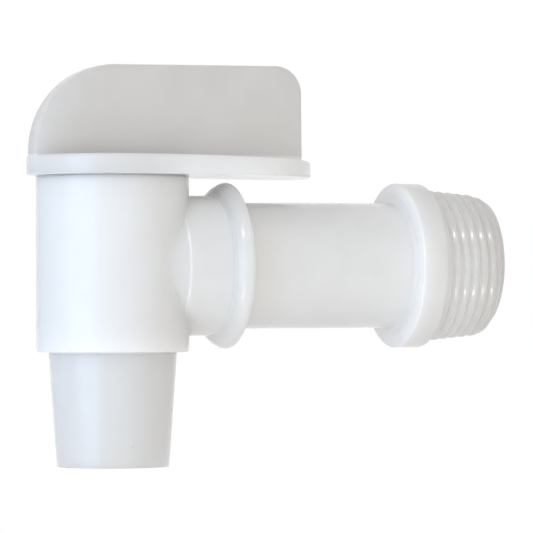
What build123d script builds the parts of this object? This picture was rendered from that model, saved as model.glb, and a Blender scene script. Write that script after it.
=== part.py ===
# Plug tap for a small drum or carboy, in two polyethylene mouldings.
# The body carries the barrel, the tapered spout and the threaded inlet tube.
# The handle is one piece with the hollow ported plug that turns in the barrel.
# Origin: centre of the flange's seat face. +X runs along the inlet towards the thread, +Z is up.
import os

from build123d import *

# Inlet tube, lengths along X
barrel_to_seat = 58.6
neck_step_from_barrel = 10.2
collar_foot_from_barrel = 18.5
collar_back_from_barrel = 21.6
flange_thickness = 4.75
nose_length = 12.3
nose_lead = 1.1

# Inlet tube, diameters
stub_od = 24.5
neck_od = 25.05
collar_od = 29.65
tube_od = 22.6
flange_od = 29.8
nose_base_od = 27.8
nose_end_od = 25.6
inlet_bore = 17.5

# Inlet tube, edges
neck_step_run = 0.35
collar_bulge = 0.35
collar_rim_width = 0.6
collar_rim_round = 0.28
collar_back_fillet = 0.5
flange_edge_round = 0.25
flange_seat_round = 0.25
flange_root_fillet = 1.1
nose_lead_drop = 0.9

# Barrel and spout, heights from the tube's axis
barrel_top = 15.9
barrel_drop = 15.3
barrel_floor = 2.4
barrel_od = 27.2
barrel_bore = 22.4
barrel_edge_round = 0.5
barrel_mouth_chamfer = 0.4
neck_fillet = 1.0
spout_length = 20.3
spout_top_od = 22.75
spout_end_od = 19.95
spout_bore = 16.4
spout_root_fillet = 0.3

# Plug and its snap bead
plug_clearance = 0.08
plug_wall = 2.4
plug_floor_gap = 0.3
plug_foot_chamfer = 0.5
plug_window = 15.5
plug_roof = 3.0
bead_height = 12.7
bead_radius = 0.6
bead_proud = 0.4
bead_clearance = 0.12

# Lever plate, lengths along X from the barrel's axis
plate_gap = 0.1
plate_overhang = 1.65
plate_reach = 36.65
plate_thickness = 3.6
plate_tip_thickness = 3.0
plate_tip_droop = 0.5
plate_bend = -6.0
plate_edge_round = 0.6

# Grip blade standing on the plate
grip_top = 35.9
grip_top_fall = 0.2
grip_back_inset = 0.12
grip_front_inset = 1.27
grip_base_thickness = 4.4
grip_top_thickness = 3.6
grip_back_radius = 15.4
grip_front_radius = 4.9
grip_sink = 1.5
grip_edge_round = 0.45
grip_root_fillet = 0.5

# Places worked out from the sizes above
barrel_x = -barrel_to_seat
barrel_foot = -barrel_drop
spout_end = barrel_foot - spout_length
floor_top = barrel_foot + barrel_floor
plate_under = barrel_top + plate_gap
plate_top = plate_under + plate_thickness
plate_round_radius = barrel_od / 2 + plate_overhang
plug_od = barrel_bore - 2 * plug_clearance
plug_id = plug_od - 2 * plug_wall
plug_foot = floor_top + plug_floor_gap
grip_back = plate_round_radius - grip_back_inset
grip_front = plate_reach - grip_front_inset

# Largest misfit at which an edge still counts as the one that is looked for
edge_match = 0.001


def upright(x, base, top, radius, top_radius=None):
    """A round solid about a vertical axis at x, straight or tapered, from base to top."""
    place = Pos(x, 0, (base + top) / 2)
    if top_radius is None:
        return place * Cylinder(radius, top - base)
    return place * Cone(radius, top_radius, top - base)


def along_x(start, end, radius):
    """A round solid about the tube's axis, from start to end."""
    return Pos((start + end) / 2, 0, 0) * Rot(0, 90, 0) * Cylinder(radius, end - start)


def rings(shape, height, radius):
    """The round edges of a shape that lie level at a height and have a radius."""
    return shape.edges().filter_by(GeomType.CIRCLE).filter_by(
        lambda edge: abs(edge.center().Z - height) < edge_match and abs(edge.radius - radius) < edge_match
    )


def inlet_outside():
    """Stub, collar, tube, flange and nose as one profile turned about the tube's axis."""
    foot_x = barrel_x + collar_foot_from_barrel
    back_x = barrel_x + collar_back_from_barrel
    flange_x = -flange_thickness
    flank_foot = (foot_x, neck_od / 2)
    flank_top = (back_x - collar_rim_width, collar_od / 2)
    stub = Polyline((barrel_x, 0), (barrel_x, stub_od / 2), (foot_x, stub_od / 2), flank_foot)
    flank = SagittaArc(flank_foot, flank_top, collar_bulge)
    rest = Polyline(
        flank_top,
        (back_x, collar_od / 2),
        (back_x, tube_od / 2),
        (flange_x, tube_od / 2),
        (flange_x, flange_od / 2),
        (0, flange_od / 2),
        (0, nose_base_od / 2),
        (nose_length - nose_lead, nose_end_od / 2),
        (nose_length, nose_end_od / 2 - nose_lead_drop),
        (nose_length, 0),
        (barrel_x, 0),
    )
    profile = make_face([*stub.edges(), *flank.edges(), *rest.edges()])
    rounds = {
        flank_top: collar_rim_round,
        (back_x, collar_od / 2): collar_rim_round,
        (back_x, tube_od / 2): collar_back_fillet,
        (flange_x, tube_od / 2): flange_root_fillet,
        (flange_x, flange_od / 2): flange_edge_round,
        (0, flange_od / 2): flange_seat_round,
    }
    for (x, radius), size in rounds.items():
        corner = profile.vertices().sort_by_distance((x, radius, 0))[0]
        profile = fillet(corner, size)
    return revolve(profile, axis=Axis.X)


def neck_sleeve():
    """The slightly thicker stretch of the neck, from its step to the collar's foot."""
    step_x = barrel_x + neck_step_from_barrel
    foot_x = barrel_x + collar_foot_from_barrel
    outline = Polyline(
        (step_x, inlet_bore / 2),
        (step_x, stub_od / 2),
        (step_x + neck_step_run, neck_od / 2),
        (foot_x, neck_od / 2),
        (foot_x, inlet_bore / 2),
        close=True,
    )
    return revolve(make_face(outline), axis=Axis.X)


def snap_ring(extra):
    """The bead's ring, grown by extra on every side for the groove that it sits in."""
    ring_radius = plug_od / 2 + bead_proud - bead_radius
    return Pos(barrel_x, 0, bead_height) * Torus(ring_radius, bead_radius + extra)


def make_tap_body():
    """Barrel, spout and threaded inlet as one moulding with its passages cut through."""
    barrel = upright(barrel_x, barrel_foot, barrel_top, barrel_od / 2)
    body = barrel + inlet_outside()
    saddle = body.edges().filter_by(GeomType.CIRCLE, reverse=True).filter_by(GeomType.LINE, reverse=True)
    body = fillet(saddle, neck_fillet) + neck_sleeve()
    body = fillet(rings(body, barrel_foot, barrel_od / 2), barrel_edge_round)
    body += upright(barrel_x, spout_end, barrel_foot, spout_end_od / 2, spout_top_od / 2)
    body = fillet(rings(body, barrel_foot, spout_top_od / 2), spout_root_fillet)
    body -= upright(barrel_x, floor_top, barrel_top, barrel_bore / 2)
    body -= upright(barrel_x, spout_end, floor_top, spout_bore / 2)
    body -= along_x(barrel_x, nose_length, inlet_bore / 2)
    body = chamfer(rings(body, barrel_top, barrel_bore / 2), barrel_mouth_chamfer)
    body -= snap_ring(bead_clearance)
    return body


def lever_plate():
    """Stadium plate that covers the barrel and thins and droops a little towards its tip."""
    tip_centre = plate_reach - plate_round_radius
    plan = Pos(barrel_x, 0) * Circle(plate_round_radius)
    plan += Pos(barrel_x + tip_centre, 0) * Circle(plate_round_radius)
    plan += Pos(barrel_x + tip_centre / 2, 0) * Rectangle(tip_centre, 2 * plate_round_radius)
    column = Pos(0, 0, plate_under - plate_thickness) * extrude(plan, 3 * plate_thickness)
    tip_x = barrel_x + plate_reach
    tip_under = plate_under - plate_tip_droop
    back_x = barrel_x - plate_round_radius
    under_bend_x = barrel_x + plate_round_radius
    top_bend_x = barrel_x + plate_bend
    tip_top = tip_under + plate_tip_thickness
    outline = [
        Line((top_bend_x, plate_top), (back_x, plate_top)),
        Line((back_x, plate_top), (back_x, plate_under)),
        Line((back_x, plate_under), (under_bend_x, plate_under)),
        TangentArc((under_bend_x, plate_under), (tip_x, tip_under), tangent=(1, 0)),
        Line((tip_x, tip_under), (tip_x, tip_top)),
        TangentArc((top_bend_x, plate_top), (tip_x, tip_top), tangent=(1, 0)),
    ]
    side = extrude(Plane.XZ * make_face(outline), plate_round_radius, both=True)
    plate = column & side
    rims = plate.edges().filter_by(Axis.Y, reverse=True).filter_by(Axis.Z, reverse=True)
    return fillet(rims, plate_edge_round)


def grip_blade():
    """Upright blade with a quarter-round back, a small front corner and drafted faces."""
    foot = plate_top - grip_sink
    back_x = barrel_x - grip_back
    front_x = barrel_x + grip_front
    back_top = grip_top - grip_top_fall
    outline = Polyline((back_x, foot), (back_x, back_top), (front_x, grip_top), (front_x, foot), close=True)
    profile = make_face(outline)
    back_corner = profile.vertices().sort_by_distance((back_x, back_top, 0))[0]
    profile = fillet(back_corner, grip_back_radius)
    front_corner = profile.vertices().sort_by_distance((front_x, grip_top, 0))[0]
    profile = fillet(front_corner, grip_front_radius)
    slab = extrude(Plane.XZ * profile, grip_base_thickness, both=True)
    section = make_face(
        Polyline(
            (-grip_base_thickness / 2, foot),
            (-grip_top_thickness / 2, grip_top),
            (grip_top_thickness / 2, grip_top),
            (grip_base_thickness / 2, foot),
            close=True,
        )
    )
    draft = Pos(back_x, 0, 0) * extrude(Plane.YZ * section, grip_back + grip_front)
    blade = slab & draft
    rims = blade.edges().filter_by(Axis.Y, reverse=True)
    rims = rims.filter_by(lambda edge: edge.bounding_box().max.Z > plate_top)
    return fillet(rims, grip_edge_round)


def runs_along_grip_root(edge):
    """Whether an edge is one of the long lines where the blade's faces meet the plate."""
    box = edge.bounding_box()
    beside_blade = grip_top_thickness / 4 < abs(edge.center().Y) < grip_base_thickness
    on_plate = box.min.Z > plate_under and box.max.Z < plate_top + grip_edge_round
    return beside_blade and on_plate and box.size.X > grip_base_thickness


def make_plug_handle():
    """Hollow plug with its side window, lever plate and grip blade as one moulding."""
    plug = upright(barrel_x, plug_foot, plate_under + plate_tip_thickness / 2, plug_od / 2)
    plug = chamfer(rings(plug, plug_foot, plug_od / 2), plug_foot_chamfer) + snap_ring(0)
    handle = lever_plate() + grip_blade()
    handle = fillet(handle.edges().filter_by(runs_along_grip_root), grip_root_fillet) + plug
    handle -= upright(barrel_x, plug_foot, plate_top - plug_roof, plug_id / 2)
    handle -= along_x(barrel_x, barrel_x + plug_od, plug_window / 2)
    return handle


if __name__ == "__main__":
    os.makedirs("parts", exist_ok=True)
    export_step(make_tap_body(), "parts/tap_body.step")
    export_step(make_plug_handle(), "parts/plug_handle.step")
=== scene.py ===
"""Dress the plug tap's solids as two milky polyethylene mouldings in a white studio."""

import logging
import math
from dataclasses import dataclass, field
from enum import Enum
from typing import ClassVar, Optional, Union

import bmesh
import bpy
from mathutils import Matrix, Vector


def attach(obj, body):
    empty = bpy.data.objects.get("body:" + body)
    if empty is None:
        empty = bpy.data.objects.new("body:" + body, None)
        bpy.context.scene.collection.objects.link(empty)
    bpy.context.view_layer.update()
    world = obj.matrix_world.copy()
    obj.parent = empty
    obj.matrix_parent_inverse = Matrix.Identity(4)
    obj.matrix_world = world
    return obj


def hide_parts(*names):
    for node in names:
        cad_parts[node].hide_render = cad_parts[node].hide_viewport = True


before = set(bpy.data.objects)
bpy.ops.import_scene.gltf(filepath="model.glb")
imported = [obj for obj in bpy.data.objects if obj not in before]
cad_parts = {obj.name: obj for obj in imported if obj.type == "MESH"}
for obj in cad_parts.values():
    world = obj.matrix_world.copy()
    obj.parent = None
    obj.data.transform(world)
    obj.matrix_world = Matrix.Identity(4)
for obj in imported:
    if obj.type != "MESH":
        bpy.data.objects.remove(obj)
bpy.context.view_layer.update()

LOG = logging.getLogger("plug_tap")
MM = 0.001
FULL_TURN = 2.0 * math.pi

# Places on the solids, along the inlet tube and up
BARREL_X = -58.6 * MM
NECK_STEP_X = -48.2 * MM
COLLAR_FOOT_X = -40.1 * MM
COLLAR_BACK_X = -37.0 * MM
FLANGE_BACK_X = -4.75 * MM
SEAT_X = 0.0
BARREL_FOOT_Z = -15.3 * MM
PLATE_TOP_Z = 19.6 * MM

# Places where a wall's look changes, and a place well outside the tap
LIGHTENED_TUBE_END_X = -34.0 * MM
NOSE_TIP_X = 8.5 * MM
UPPER_SIDE_Z = 9.0 * MM
PLUG_TOP_Z = 12.0 * MM
OUTSIDE_BARREL = 13.69 * MM
FAR = 100.0 * MM

# Joining and smoothing of the meshes
JOIN_DISTANCE = 0.001 * MM
GRID_JOIN_DISTANCE = 0.002 * MM
CUT_SNAP = 0.0001 * MM
SHARP_ANGLE = math.radians(32.0)

Colour = tuple[float, float, float]
Point = tuple[float, float, float]
Term = Union["Sock", float]

WHITE: Colour = (1.0, 1.0, 1.0)


class Moulding(Enum):
    """The two mouldings, each as its solid's node and the body that it rides on."""

    TAP_BODY = ("tap_body", "tap")
    PLUG_HANDLE = ("plug_handle", "handle")

    @property
    def node(self) -> str:
        """The name of the moulding's solid in the frame."""
        return self.value[0]

    @property
    def body(self) -> str:
        """The name of the body that the moulding moves with."""
        return self.value[1]


class Sock:
    """An output socket that takes part in Python expressions by adding Math nodes."""

    def __init__(self, graph: "Graph", socket: bpy.types.NodeSocket) -> None:
        """Wrap a socket.

        Args:
            graph: The tree that the socket's node stands in.
            socket: The output socket itself.
        """
        self.graph = graph
        self.socket = socket

    def out(self, name: Union[str, int]) -> "Sock":
        """Another output of the same node, by its name or number."""
        return Sock(self.graph, self.socket.node.outputs[name])

    def _math(self, operation: str, *terms: Term, clamp: bool = False) -> "Sock":
        """Add one Math node.

        Args:
            operation: The Math node's operation.
            terms: Its inputs in order, as sockets or numbers.
            clamp: Whether the result is kept between 0 and 1.

        Returns:
            The node's result.
        """
        settings = {"operation": operation, "use_clamp": clamp}
        return self.graph.node("ShaderNodeMath", settings, dict(enumerate(terms)))

    def __add__(self, other: Term) -> "Sock":
        """self + other"""
        return self._math("ADD", self, other)

    def __radd__(self, other: Term) -> "Sock":
        """other + self"""
        return self._math("ADD", other, self)

    def __sub__(self, other: Term) -> "Sock":
        """self - other"""
        return self._math("SUBTRACT", self, other)

    def __rsub__(self, other: Term) -> "Sock":
        """other - self"""
        return self._math("SUBTRACT", other, self)

    def __mul__(self, other: Term) -> "Sock":
        """self * other"""
        return self._math("MULTIPLY", self, other)

    def __rmul__(self, other: Term) -> "Sock":
        """other * self"""
        return self._math("MULTIPLY", other, self)

    def __truediv__(self, other: Term) -> "Sock":
        """self / other"""
        return self._math("DIVIDE", self, other)

    def __rtruediv__(self, other: Term) -> "Sock":
        """other / self"""
        return self._math("DIVIDE", other, self)

    def __abs__(self) -> "Sock":
        """The value without its sign."""
        return self._math("ABSOLUTE", self)

    def fract(self) -> "Sock":
        """The part after the decimal point."""
        return self._math("FRACT", self)

    def sine(self) -> "Sock":
        """The sine of an angle in radians."""
        return self._math("SINE", self)

    def cosine(self) -> "Sock":
        """The cosine of an angle in radians."""
        return self._math("COSINE", self)

    def root(self) -> "Sock":
        """The square root."""
        return self._math("SQRT", self)

    def at_most(self, other: Term) -> "Sock":
        """The smaller of the two."""
        return self._math("MINIMUM", self, other)

    def at_least(self, other: Term) -> "Sock":
        """The larger of the two."""
        return self._math("MAXIMUM", self, other)

    def ramp(self, low: Term, high: Term) -> "Sock":
        """Go smoothly from 0 at one value to 1 at another.

        Args:
            low: The value at and below which the result is 0.
            high: The value at and above which the result is 1.

        Returns:
            The eased share of the way between the two.
        """
        share = self._math("DIVIDE", self - low, high - low, clamp=True)
        return share * share * (3.0 - 2.0 * share)


class Graph:
    """A node tree that nodes are added to by one method."""

    def __init__(self, tree: bpy.types.NodeTree) -> None:
        """Wrap an empty tree.

        Args:
            tree: The tree that the nodes go in.
        """
        self.tree = tree

    @classmethod
    def fresh(cls, owner: Union[bpy.types.Material, bpy.types.World]) -> "Graph":
        """Empty the tree of a material or a world, and wrap it.

        Args:
            owner: The material or the world.

        Returns:
            The wrapped tree.
        """
        owner.use_nodes = True
        owner.node_tree.nodes.clear()
        return cls(owner.node_tree)

    def node(
        self,
        kind: str,
        settings: Optional[dict] = None,
        inputs: Optional[dict] = None,
        out: Union[str, int] = 0,
    ) -> Sock:
        """Add a node, set it up and link it.

        Args:
            kind: The node's type name.
            settings: Properties that are set before the inputs.
            inputs: Values or sockets by the input's name or number.
            out: The output that is returned.

        Returns:
            The chosen output, or the node's first input where it has no output.
        """
        made = self.tree.nodes.new(kind)
        for key, value in (settings or {}).items():
            setattr(made, key, value)
        for key, value in (inputs or {}).items():
            if isinstance(value, Sock):
                self.tree.links.new(value.socket, made.inputs[key])
            else:
                made.inputs[key].default_value = value
        return Sock(self, made.outputs[out] if len(made.outputs) else made.inputs[0])

    def blend(self, share: Term, first: Colour, second: Colour) -> Sock:
        """Mix two colours.

        Args:
            share: How much of the second colour shows, from 0 to 1.
            first: The first colour, linear.
            second: The second colour, linear.

        Returns:
            The mixed colour.
        """
        # Each kind of data repeats the Mix node's socket names, so the colours go by number
        settings = {"data_type": "RGBA", "blend_type": "MIX"}
        inputs = {0: share, 6: (*first, 1.0), 7: (*second, 1.0)}
        return self.node("ShaderNodeMix", settings, inputs, out=2)


class Measure(Enum):
    """What a stretch of wall is measured along; the first three hold their axis."""

    ALONG_TUBE = "X"
    ACROSS = "Y"
    UP = "Z"
    FROM_BARREL = "from_barrel"


@dataclass(frozen=True)
class Places:
    """The Object coordinates that a finish reads, as sockets."""

    point: Sock
    axes: Sock

    @classmethod
    def read(cls, graph: Graph) -> "Places":
        """Add the nodes that read Object coordinates.

        Args:
            graph: The tree that they go in.

        Returns:
            The point and its axes.
        """
        point = graph.node("ShaderNodeTexCoord", out="Object")
        return cls(point, graph.node("ShaderNodeSeparateXYZ", None, {0: point}))

    def along(self, measure: Measure) -> Sock:
        """Read one coordinate.

        Args:
            measure: What the coordinate is measured along.

        Returns:
            The coordinate, or the distance from the barrel's axis, in metres.
        """
        if measure is Measure.FROM_BARREL:
            beside = self.axes.out("X") - BARREL_X
            across = self.axes.out("Y")
            return (beside * beside + across * across).root()
        return self.axes.out(measure.value)


@dataclass(frozen=True)
class WallZone:
    """A stretch of a moulding with its own wall, laid over the stretches before it; some stretches
    carry painted shade and painted light.

    Its ends are in metres; its thinness and its shade go from 0 to 1.
    """

    measure: Measure
    low: float
    high: float
    thinness_and_light: float
    shade: float
    low_blur: float = 0.4 * MM
    high_blur: float = 0.4 * MM

    def mask(self, places: Places) -> Sock:
        """Show where the stretch lies.

        Args:
            places: The coordinates.

        Returns:
            A mask that is 1 inside the stretch and 0 outside.
        """
        along = places.along(self.measure)
        begun = along.ramp(self.low - self.low_blur, self.low + self.low_blur)
        ended = along.ramp(self.high - self.high_blur, self.high + self.high_blur)
        return begun * (1.0 - ended)


@dataclass(frozen=True)
class MilkyPolyethylene:
    """Unpigmented polyethylene: milky, waxy, greyer where its walls are thin, with painted shade and
    painted light on some stretches.

    Lengths are in metres and colours are linear.
    """

    name: str
    zones: tuple[WallZone, ...]
    thick_depth: float = 4.0 * MM
    thin_depth: float = 18.0 * MM
    thinness_and_light: float = 0.2
    refraction: float = 1.5
    clear: Colour = (0.97, 0.975, 0.98)
    smoky: Colour = (0.50, 0.482, 0.45)
    cloud_size: float = 9.0 * MM
    cloud_low: float = 0.35
    cloud_high: float = 0.65
    cloud_share: float = 0.05
    roughness: float = 0.17
    roughness_spread: float = 0.07
    scuff_size: float = 1.4 * MM
    scuff_share: float = 0.6
    skin_size: float = 0.35 * MM
    skin_height: float = 0.003 * MM
    wave_size: float = 5.0 * MM
    wave_height: float = 0.02 * MM
    seam_width: float = 0.11 * MM
    seam_height: float = 0.02 * MM
    gate: Optional[Point] = None
    gate_radius: float = 0.45 * MM
    gate_height: float = 0.12 * MM

    # The middle of a noise's range
    NOISE_MIDDLE: ClassVar[float] = 0.5
    # The share of a mark's reach that stands at its full height
    MARK_FLAT: ClassVar[float] = 0.4

    def material(self) -> bpy.types.Material:
        """Build the material.

        Returns:
            The finished material, its patterns on Object coordinates.
        """
        made = bpy.data.materials.new(self.name)
        graph = Graph.fresh(made)
        places = Places.read(graph)
        clouds = self._noise(graph, places, self.cloud_size, detail=2.0)
        scuffs = self._noise(graph, places, self.scuff_size, detail=4.0)
        shade: Term = 0.0
        thinness_and_light: Term = self.thinness_and_light
        # Each stretch greys the colour and thins the wall; on some stretches this is painted shade and
        # painted light, not the wall itself
        for zone in self.zones:
            mask = zone.mask(places)
            shade = shade + (zone.shade - shade) * mask
            thinness_and_light = thinness_and_light + (zone.thinness_and_light - thinness_and_light) * mask
        shade = shade + self.cloud_share * clouds.ramp(self.cloud_low, self.cloud_high)
        wear = self.scuff_share * scuffs + (1.0 - self.scuff_share) * clouds - self.NOISE_MIDDLE
        surface = {
            "Base Color": graph.blend(shade, self.clear, self.smoky),
            "Roughness": self.roughness + self.roughness_spread * wear,
            "Normal": self._relief(graph, places),
        }
        thick = self._plastic(graph, surface, self.thick_depth)
        thin = self._plastic(graph, surface, self.thin_depth)
        both = graph.node("ShaderNodeMixShader", None, {0: thinness_and_light, 1: thick, 2: thin})
        graph.node("ShaderNodeOutputMaterial", None, {"Surface": both})
        return made

    def _plastic(self, graph: Graph, surface: dict[str, Sock], depth: float) -> Sock:
        """Add one milky shader.

        Args:
            graph: The tree that it goes in.
            surface: Its colour, roughness and normal.
            depth: How far light spreads under the skin, in metres.

        Returns:
            The shader.
        """
        inputs = {
            **surface,
            "IOR": self.refraction,
            "Subsurface Weight": 1.0,
            "Subsurface Radius": (1.0, 1.0, 1.0),
            "Subsurface Scale": depth,
        }
        return graph.node("ShaderNodeBsdfPrincipled", {"subsurface_method": "RANDOM_WALK"}, inputs)

    def _relief(self, graph: Graph, places: Places) -> Sock:
        """Raise the moulded skin: fine grain, slow waves, the parting seam and the gate's mark.

        Args:
            graph: The tree that it goes in.
            places: The coordinates that it reads.

        Returns:
            The bumped normal.
        """
        skin = self._noise(graph, places, self.skin_size, detail=3.0)
        waves = self._noise(graph, places, self.wave_size, detail=1.0)
        # The mould's halves meet on the plane of symmetry
        seam = self._mark(abs(places.along(Measure.ACROSS)), self.seam_width)
        height = skin * self.skin_height + waves * self.wave_height + seam * self.seam_height
        if self.gate:
            ends = {0: places.point, 1: self.gate}
            distance = graph.node("ShaderNodeVectorMath", {"operation": "DISTANCE"}, ends, out="Value")
            height = height + self._mark(distance, self.gate_radius) * self.gate_height
        return graph.node("ShaderNodeBump", None, {"Strength": 1.0, "Distance": 1.0, "Height": height})

    @staticmethod
    def _noise(graph: Graph, places: Places, size: float, detail: float) -> Sock:
        """Add a soft noise.

        Args:
            graph: The tree that it goes in.
            places: The coordinates that it reads.
            size: The size of its patches, in metres.
            detail: How many finer layers it has.

        Returns:
            The noise, from 0 to 1.
        """
        inputs = {"Vector": places.point, "Scale": 1.0 / size, "Detail": detail, "Roughness": 0.5}
        return graph.node("ShaderNodeTexNoise", None, inputs)

    def _mark(self, distance: Sock, reach: float) -> Sock:
        """Show what lies near a line or a point.

        Args:
            distance: How far a place is from the line or the point.
            reach: Where the mark ends, in metres.

        Returns:
            A mask that is 1 near the line or the point and 0 beyond the reach.
        """
        return 1.0 - distance.ramp(self.MARK_FLAT * reach, reach)


def plain_mesh(obj: bpy.types.Object, name: str) -> bpy.types.Mesh:
    """Turn an object with its modifiers into a plain mesh.

    Args:
        obj: The object, which loses its modifiers.
        name: The new mesh's name.

    Returns:
        The evaluated mesh.
    """
    depsgraph = bpy.context.evaluated_depsgraph_get()
    mesh = bpy.data.meshes.new_from_object(obj.evaluated_get(depsgraph), depsgraph=depsgraph)
    mesh.name = name
    obj.modifiers.clear()
    return mesh


def new_object(name: str, data: bpy.types.ID) -> bpy.types.Object:
    """Put a mesh, a camera or a lamp into the scene at the origin.

    Args:
        name: The object's name.
        data: Its mesh, in the frame's own coordinates, or its camera or lamp.

    Returns:
        The new object.
    """
    obj = bpy.data.objects.new(name, data)
    bpy.context.scene.collection.objects.link(obj)
    return obj


def merged_solid(moulding: Moulding) -> bmesh.types.BMesh:
    """Copy a moulding's solid with its loose triangles joined.

    Args:
        moulding: The moulding whose solid is copied.

    Returns:
        The joined copy.
    """
    bm = bmesh.new()
    bm.from_mesh(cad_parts[moulding.node].data)
    bmesh.ops.remove_doubles(bm, verts=bm.verts, dist=JOIN_DISTANCE)
    return bm


def finish_moulding(
    bm: bmesh.types.BMesh, name: str, material: bpy.types.Material
) -> bpy.types.Object:
    """Make a moulding's object with smooth curved faces and crisp edges.

    Args:
        bm: The moulding's geometry, which is freed.
        name: The object's name.
        material: Its material.

    Returns:
        The finished object, a plain mesh at the origin.
    """
    mesh = bpy.data.meshes.new(name)
    bm.to_mesh(mesh)
    bm.free()
    # The normals stored with the solid no longer fit once its triangles are joined
    if "custom_normal" in mesh.attributes:
        mesh.attributes.remove(mesh.attributes["custom_normal"])
    mesh.materials.clear()
    mesh.materials.append(material)
    mesh.polygons.foreach_set("use_smooth", [True] * len(mesh.polygons))
    mesh.polygons.foreach_set("material_index", [0] * len(mesh.polygons))
    mesh.set_sharp_from_angle(angle=SHARP_ANGLE)
    obj = new_object(name, mesh)
    even = obj.modifiers.new("even_normals", "WEIGHTED_NORMAL")
    even.mode = "FACE_AREA"
    even.keep_sharp = True
    obj.data = plain_mesh(obj, name)
    bpy.data.meshes.remove(mesh)
    return obj


@dataclass
class ThreadedNose:
    """The inlet's tapered nose with its moulded right-hand thread, in metres along +X.

    Its surface starts just off the seat face. The thread opens after a plain land and
    fades out, crests and grooves alike, before the end.
    """

    start: float = 0.08 * MM
    length: float = 12.3 * MM
    base_radius: float = 13.9 * MM
    end_radius: float = 12.8 * MM
    lead: float = 1.1 * MM
    lead_drop: float = 0.9 * MM
    bore_radius: float = 8.75 * MM
    bore_round: float = 0.3 * MM
    bore_round_steps: int = 4
    pitch: float = 1.814 * MM
    depth: float = 0.58 * MM
    first_crest: float = 0.90 * MM
    land: float = 0.5 * MM
    run_in: float = 1.0 * MM
    run_out: float = 1.9 * MM
    rows: int = 150
    columns: int = 192

    # The sizes that the tree takes as its inputs
    LENGTHS: ClassVar[tuple[str, ...]] = (
        "start", "length", "base_radius", "end_radius", "lead", "lead_drop",
        "pitch", "depth", "first_crest", "land", "run_in", "run_out",
    )
    COUNTS: ClassVar[tuple[str, ...]] = ("rows", "columns")
    # The share of the run-out that is left without a groove
    FADED_SHARE: ClassVar[float] = 0.25
    # The share of the depth that the crests lose there
    WORN_SHARE: ClassVar[float] = 0.8

    @property
    def cut(self) -> float:
        """Where the plain nose is cut off, halfway between the seat face and the start."""
        return 0.5 * self.start

    def mesh(self, material: bpy.types.Material) -> bpy.types.Mesh:
        """Make the threaded surface, open at both ends.

        Args:
            material: The material that the tree sets.

        Returns:
            The surface as a plain mesh.
        """
        tree, sockets = self._tree()
        holder = new_object("threaded_nose_holder", bpy.data.meshes.new("threaded_nose_holder"))
        modifier = holder.modifiers.new("threaded_nose", "NODES")
        modifier.node_group = tree
        for name in self.LENGTHS + self.COUNTS:
            modifier[sockets[name]] = getattr(self, name)
        modifier[sockets["material"]] = material
        mesh = plain_mesh(holder, "threaded_nose")
        bpy.data.meshes.remove(holder.data)
        return mesh

    def _tree(self) -> tuple[bpy.types.NodeTree, dict[str, str]]:
        """Build the tree that bends a grid into the threaded taper.

        Returns:
            The tree, and each input's identifier by its name.
        """
        tree = bpy.data.node_groups.new("threaded_nose", "GeometryNodeTree")
        kinds = {
            **dict.fromkeys(self.LENGTHS, "NodeSocketFloat"),
            **dict.fromkeys(self.COUNTS, "NodeSocketInt"),
            "material": "NodeSocketMaterial",
        }
        made = {
            name: tree.interface.new_socket(name, in_out="INPUT", socket_type=kind)
            for name, kind in kinds.items()
        }
        tree.interface.new_socket("surface", in_out="OUTPUT", socket_type="NodeSocketGeometry")
        graph = Graph(tree)
        size = graph.node("NodeGroupInput")
        # The grid is 1 by 1 about its centre: X is the way along, Y the share of a turn
        cells = {"Vertices X": size.out("rows"), "Vertices Y": size.out("columns")}
        grid = graph.node("GeometryNodeMeshGrid", None, {"Size X": 1.0, "Size Y": 1.0, **cells})
        position = graph.node("GeometryNodeInputPosition")
        spot = graph.node("ShaderNodeSeparateXYZ", None, {0: position})
        along = size.out("start") + (spot.out("X") + 0.5) * (size.out("length") - size.out("start"))
        turn = spot.out("Y") + 0.5
        radius = self._radius(size, along, turn)
        angle = turn * FULL_TURN
        bend = {"X": along, "Y": radius * angle.cosine(), "Z": radius * angle.sine()}
        where = graph.node("ShaderNodeCombineXYZ", None, bend)
        bent = graph.node("GeometryNodeSetPosition", None, {"Geometry": grid, "Position": where})
        join = {"Geometry": bent, "Distance": GRID_JOIN_DISTANCE}
        closed = graph.node("GeometryNodeMergeByDistance", None, join)
        outward = graph.node("GeometryNodeFlipFaces", None, {"Mesh": closed})
        real = graph.node("GeometryNodeRealizeInstances", None, {"Geometry": outward})
        dress = {"Geometry": real, "Material": size.out("material")}
        dressed = graph.node("GeometryNodeSetMaterial", None, dress)
        graph.node("NodeGroupOutput", None, {0: dressed})
        return tree, {name: socket.identifier for name, socket in made.items()}

    def _radius(self, size: Sock, along: Sock, turn: Sock) -> Sock:
        """The nose's radius at a place along it and a share of a turn round it.

        Args:
            size: The tree's inputs.
            along: The distance from the seat face.
            turn: The share of a turn, from 0 to 1.

        Returns:
            The radius with the thread's groove taken off.
        """
        straight = size.out("length") - size.out("lead")
        fall = size.out("base_radius") - size.out("end_radius")
        taper = size.out("base_radius") - fall * along / straight
        led = size.out("end_radius") - (along - straight) * size.out("lead_drop") / size.out("lead")
        full = taper.at_most(led)
        phase = ((along - size.out("first_crest")) / size.out("pitch") - turn + 1.0).fract()
        ridge = 1.0 - abs(2.0 * phase - 1.0)
        groove = 1.0 - ridge.ramp(0.0, 1.0)
        opened = along.ramp(size.out("land"), size.out("land") + size.out("run_in"))
        faded = self.FADED_SHARE * size.out("run_out")
        shallow = 1.0 - (size.out("length") - along).ramp(faded, size.out("run_out"))
        worn = full - self.WORN_SHARE * size.out("depth") * shallow * (1.0 - groove)
        return worn - size.out("depth") * opened * groove * (1.0 - shallow)


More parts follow.
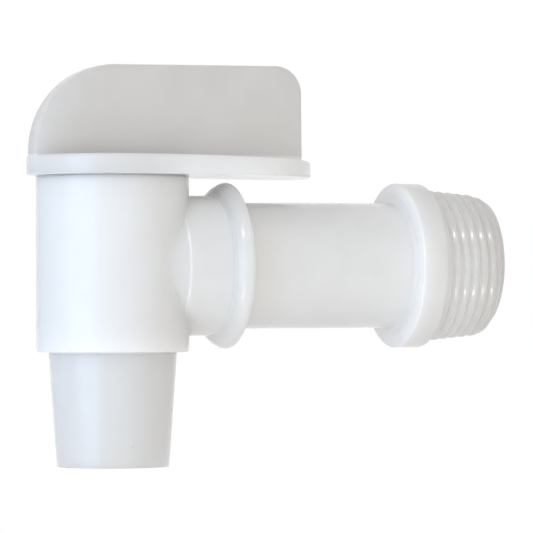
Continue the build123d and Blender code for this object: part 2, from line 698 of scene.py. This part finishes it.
@dataclass
class TapBody:
    """Barrel, spout, neck, flange and threaded inlet, one moulding."""

    finish: MilkyPolyethylene = MilkyPolyethylene(
        "body_polyethylene",
        (
            # Neck on both sides of its step; the stub between the barrel and the step is greyed as
            # painted shade that evens out its join with the barrel's shaded side
            WallZone(Measure.ALONG_TUBE, -FAR, NECK_STEP_X, thinness_and_light=0.4, shade=0.22),
            WallZone(Measure.ALONG_TUBE, NECK_STEP_X, COLLAR_FOOT_X, thinness_and_light=0.55, shade=0.12),
            # Tube, with a stretch next to the collar lightened: painted light where the collar's shade
            # falls on it
            WallZone(Measure.ALONG_TUBE, COLLAR_BACK_X, FLANGE_BACK_X, thinness_and_light=0.35, shade=0.0),
            # Painted light: the tube's start beside the collar is lightened against the collar's shade
            WallZone(
                Measure.ALONG_TUBE,
                COLLAR_BACK_X,
                LIGHTENED_TUBE_END_X,
                thinness_and_light=0.0,
                shade=0.0,
                high_blur=2.5 * MM,
            ),
            # Upper side of the neck and the tube, lightened: painted light where the plate above
            # shades them
            WallZone(Measure.UP, UPPER_SIDE_Z, FAR, thinness_and_light=0.0, shade=0.0, low_blur=4.0 * MM),
            # Collar and flange, greyed; on the collar's flank the grey is painted shade against the
            # left lamps' light
            WallZone(Measure.ALONG_TUBE, COLLAR_FOOT_X, COLLAR_BACK_X, thinness_and_light=0.6, shade=0.48),
            WallZone(Measure.ALONG_TUBE, FLANGE_BACK_X, SEAT_X, thinness_and_light=0.3, shade=0.4),
            # Threaded nose, which is greyer towards its end
            WallZone(Measure.ALONG_TUBE, SEAT_X, FAR, thinness_and_light=1.0, shade=0.36),
            WallZone(
                Measure.ALONG_TUBE,
                NOSE_TIP_X,
                FAR,
                thinness_and_light=1.0,
                shade=0.75,
                low_blur=4.0 * MM,
            ),
            # Barrel, to just outside its wall
            WallZone(
                Measure.FROM_BARREL,
                -FAR,
                OUTSIDE_BARREL,
                thinness_and_light=0.2,
                shade=0.0,
                high_blur=0.06 * MM,
            ),
            # Spout
            WallZone(Measure.UP, -FAR, BARREL_FOOT_Z, thinness_and_light=0.8, shade=0.04),
        ),
        gate=(BARREL_X, -10.25 * MM, -31.6 * MM),
    )
    nose: ThreadedNose = field(default_factory=ThreadedNose)
    moulding: Moulding = Moulding.TAP_BODY

    def build(self) -> bpy.types.Object:
        """Build the moulding from its solid, with the thread on its nose.

        Returns:
            The finished object.
        """
        material = self.finish.material()
        bm = merged_solid(self.moulding)
        self._cut_plain_nose(bm)
        bm.from_mesh(self.nose.mesh(material))
        self._close_nose(bm)
        return finish_moulding(bm, "tap_body_moulding", material)

    def _cut_plain_nose(self, bm: bmesh.types.BMesh) -> None:
        """Take the plain nose off, just beyond the seat face.

        Args:
            bm: The solid's geometry, which is left open at the cut.
        """
        bmesh.ops.bisect_plane(
            bm,
            geom=[*bm.verts, *bm.edges, *bm.faces],
            dist=CUT_SNAP,
            plane_co=(self.nose.cut, 0.0, 0.0),
            plane_no=(1.0, 0.0, 0.0),
            clear_outer=True,
        )

    def _close_nose(self, bm: bmesh.types.BMesh) -> None:
        """Join the threaded nose to the seat, and close its end face and bore.

        Args:
            bm: The cut solid together with the threaded surface.
        """
        nose = self.nose
        past_cut = 0.5 * (nose.cut + nose.start)
        between_walls = 0.5 * (nose.bore_radius + nose.end_radius)
        rings: dict[str, list[bmesh.types.BMEdge]] = {
            "seat": [],
            "bore": [],
            "first": [],
            "last": [],
        }
        for edge in [edge for edge in bm.edges if edge.is_boundary]:
            spot = (edge.verts[0].co + edge.verts[1].co) / 2.0
            if spot.x > nose.length / 2.0:
                rings["last"].append(edge)
            elif spot.x > past_cut:
                rings["first"].append(edge)
            elif math.hypot(spot.y, spot.z) > between_walls:
                rings["seat"].append(edge)
            else:
                rings["bore"].append(edge)
        bmesh.ops.bridge_loops(bm, edges=rings["seat"] + rings["first"])
        edges = rings["last"]
        for along, radius in self._end_profile():
            edges = self._next_ring(bm, edges, along, radius)
        bmesh.ops.bridge_loops(bm, edges=rings["bore"] + edges)
        bmesh.ops.recalc_face_normals(bm, faces=bm.faces)

    def _end_profile(self) -> list[tuple[float, float]]:
        """The end face, the bore's rounded mouth and a ring halfway down the bore.

        Returns:
            The place along X and the radius of each ring, from the chamfer inwards.
        """
        nose = self.nose
        profile = []
        for step in range(nose.bore_round_steps + 1):
            angle = FULL_TURN / 4.0 * step / nose.bore_round_steps
            along = nose.length - nose.bore_round * (1.0 - math.cos(angle))
            radius = nose.bore_radius + nose.bore_round * (1.0 - math.sin(angle))
            profile.append((along, radius))
        return profile + [(nose.length / 2.0, nose.bore_radius)]

    @staticmethod
    def _next_ring(
        bm: bmesh.types.BMesh, edges: list[bmesh.types.BMEdge], along: float, radius: float
    ) -> list[bmesh.types.BMEdge]:
        """Add one ring of faces to an open round edge.

        Args:
            bm: The geometry that grows.
            edges: The open edge, as its pieces.
            along: Where the new edge lies along X.
            radius: The new edge's radius.

        Returns:
            The new open edge.
        """
        grown = bmesh.ops.extrude_edge_only(bm, edges=edges)["geom"]
        for vert in (item for item in grown if isinstance(item, bmesh.types.BMVert)):
            scale = radius / math.hypot(vert.co.y, vert.co.z)
            vert.co = Vector((along, vert.co.y * scale, vert.co.z * scale))
        return [item for item in grown if isinstance(item, bmesh.types.BMEdge) and item.is_boundary]


@dataclass
class PlugHandle:
    """Hollow plug, lever plate and grip blade, one moulding."""

    finish: MilkyPolyethylene = MilkyPolyethylene(
        "handle_polyethylene",
        (
            # Lever plate with the plug's top
            WallZone(Measure.UP, PLUG_TOP_Z, PLATE_TOP_Z, thinness_and_light=0.7, shade=0.2),
            # Grip blade, greyed for its thin wall and as painted shade for the light it loses through
            # its back
            WallZone(Measure.UP, PLATE_TOP_Z, FAR, thinness_and_light=1.0, shade=0.82),
        ),
        thin_depth=30.0 * MM,
    )
    moulding: Moulding = Moulding.PLUG_HANDLE

    def build(self) -> bpy.types.Object:
        """Build the moulding from its solid.

        Returns:
            The finished object.
        """
        bm = merged_solid(self.moulding)
        return finish_moulding(bm, "plug_handle_moulding", self.finish.material())


@dataclass
class PhotoCamera:
    """The camera of the photograph, almost level with the inlet tube.

    Angles are in degrees and lengths in metres, apart from the sensor's millimetres.
    """

    azimuth: float = -20.94
    elevation: float = -0.28
    roll: float = 0.14
    distance: float = 752.0 * MM
    pixel: float = 0.1775 * MM
    frame_pixels: float = 533.0
    sensor: float = 36.0
    nearest: float = 0.01
    farthest: float = 50.0
    right_of_barrel: float = 27.30 * MM
    above_tube: float = -0.20 * MM

    def build(self) -> bpy.types.Object:
        """Make the camera and hand it to the scene.

        Returns:
            The camera's object.
        """
        heading = Matrix.Rotation(math.radians(self.azimuth), 3, "Z")
        level = heading @ Matrix.Rotation(math.radians(90.0 - self.elevation), 3, "X")
        rolled = level @ Matrix.Rotation(math.radians(-self.roll), 3, "Z")
        right, up, back = level.col
        data = bpy.data.cameras.new("photo_camera")
        data.sensor_width = self.sensor
        data.lens = self.sensor * self.distance / (self.pixel * self.frame_pixels)
        data.clip_start = self.nearest
        data.clip_end = self.farthest
        camera = new_object("photo_camera", data)
        barrel = Vector((BARREL_X, 0.0, 0.0))
        aim = barrel + self.right_of_barrel * right + self.above_tube * up
        camera.location = aim + self.distance * back
        camera.rotation_euler = rolled.to_euler()
        bpy.context.scene.camera = camera
        return camera


@dataclass(frozen=True)
class SoftLamp:
    """One soft box, a rectangle of light that looks at the tap.

    Angles are in degrees, lengths in metres and power in watts. A lamp that isn't mirrored
    lights the tap without showing in its gloss.
    """

    name: str
    azimuth: float
    elevation: float
    distance: float
    width: float
    height: float
    power: float
    colour: Colour
    mirrored: bool = True

    def build(self, centre: Vector) -> bpy.types.Object:
        """Make the lamp.

        Args:
            centre: The point that it looks at.

        Returns:
            The lamp's object.
        """
        turn = math.radians(self.azimuth)
        rise = math.radians(self.elevation)
        level = math.cos(rise)
        away = Vector((math.sin(turn) * level, -math.cos(turn) * level, math.sin(rise)))
        data = bpy.data.lights.new(self.name, "AREA")
        data.shape = "RECTANGLE"
        data.size = self.width
        data.size_y = self.height
        data.energy = self.power
        data.color = self.colour
        lamp = new_object(self.name, data)
        lamp.location = centre + self.distance * away
        lamp.rotation_euler = (-away).to_track_quat("-Z", "Y").to_euler()
        lamp.visible_camera = False
        lamp.visible_glossy = self.mirrored
        return lamp


@dataclass
class Studio:
    """White floor, white surroundings and soft lamps, mostly from the left."""

    floor_height: float = -600.0 * MM
    floor_size: float = 10.0
    floor_cells: int = 8
    floor_colour: Colour = (0.86, 0.86, 0.86)
    floor_lift: float = 0.60
    ambient: Colour = (0.530, 0.517, 0.518)
    centre: Vector = field(default_factory=lambda: Vector((-33.0 * MM, 0.0, 0.0)))
    lamps: tuple[SoftLamp, ...] = (
        SoftLamp(
            "front",
            azimuth=-16.0,
            elevation=0.0,
            distance=1.4,
            width=1.8,
            height=1.0,
            power=8.6,
            colour=(1.0, 0.98, 0.88),
            mirrored=False,
        ),
        SoftLamp(
            "left_soft",
            azimuth=-66.0,
            elevation=0.0,
            distance=0.25,
            width=0.18,
            height=0.20,
            power=0.21,
            colour=(0.37, 0.63, 1.0),
        ),
        SoftLamp(
            "left_high",
            azimuth=-61.0,
            elevation=36.0,
            distance=1.2,
            width=0.09,
            height=0.09,
            power=1.3,
            colour=(0.9, 0.95, 1.0),
        ),
        SoftLamp(
            "left_low",
            azimuth=-61.0,
            elevation=-34.0,
            distance=0.8,
            width=0.06,
            height=0.06,
            power=0.58,
            colour=(0.9, 0.95, 1.0),
        ),
    )

    def build(self) -> None:
        """Make the floor, the surroundings and the lamps."""
        bpy.context.scene.view_settings.view_transform = "Standard"
        self._floor()
        self._surroundings()
        for lamp in self.lamps:
            lamp.build(self.centre)

    def _floor(self) -> None:
        """A wide white floor that keeps the tap's shadow."""
        bm = bmesh.new()
        cells = self.floor_cells
        bmesh.ops.create_grid(bm, x_segments=cells, y_segments=cells, size=self.floor_size / 2.0)
        mesh = bpy.data.meshes.new("studio_floor")
        bm.to_mesh(mesh)
        bm.free()
        mesh.transform(Matrix.Translation((self.centre.x, self.centre.y, self.floor_height)))
        floor = new_object("studio_floor", mesh)
        material = bpy.data.materials.new("studio_floor")
        graph = Graph.fresh(material)
        paint = graph.node("ShaderNodeBsdfDiffuse", None, {"Color": (*self.floor_colour, 1.0)})
        seen = self._seen(graph) * self.floor_lift
        glow = graph.node("ShaderNodeEmission", None, {"Color": (*WHITE, 1.0), "Strength": seen})
        both = graph.node("ShaderNodeAddShader", None, {0: paint, 1: glow})
        graph.node("ShaderNodeOutputMaterial", None, {"Surface": both})
        mesh.materials.append(material)

    @staticmethod
    def _seen(graph: Graph) -> Sock:
        """Tell the rays that show the background from those that only light the tap.

        Args:
            graph: The tree that the nodes go in.

        Returns:
            A mask that is 1 for a ray that shows the background.
        """
        path = graph.node("ShaderNodeLightPath", out="Is Camera Ray")
        return path.at_least(path.out("Is Glossy Ray")).at_least(path.out("Is Transmission Ray"))

    def _surroundings(self) -> None:
        """A world that is white where it is seen and a plain grey where it lights."""
        world = bpy.data.worlds.new("studio")
        bpy.context.scene.world = world
        graph = Graph.fresh(world)
        tint = graph.blend(self._seen(graph), self.ambient, WHITE)
        sky = graph.node("ShaderNodeBackground", None, {"Color": tint, "Strength": 1.0})
        graph.node("ShaderNodeOutputWorld", None, {"Surface": sky})


def main() -> None:
    """Build the studio and both mouldings, and report each piece."""
    logging.basicConfig(level=logging.INFO, format="%(name)s: %(message)s")
    PhotoCamera().build()
    Studio().build()
    for part in (TapBody(), PlugHandle()):
        piece = part.build()
        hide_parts(part.moulding.node)
        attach(piece, part.moulding.body)
        LOG.info("%s: %d faces", piece.name, len(piece.data.polygons))


if __name__ == "__main__":
    main()
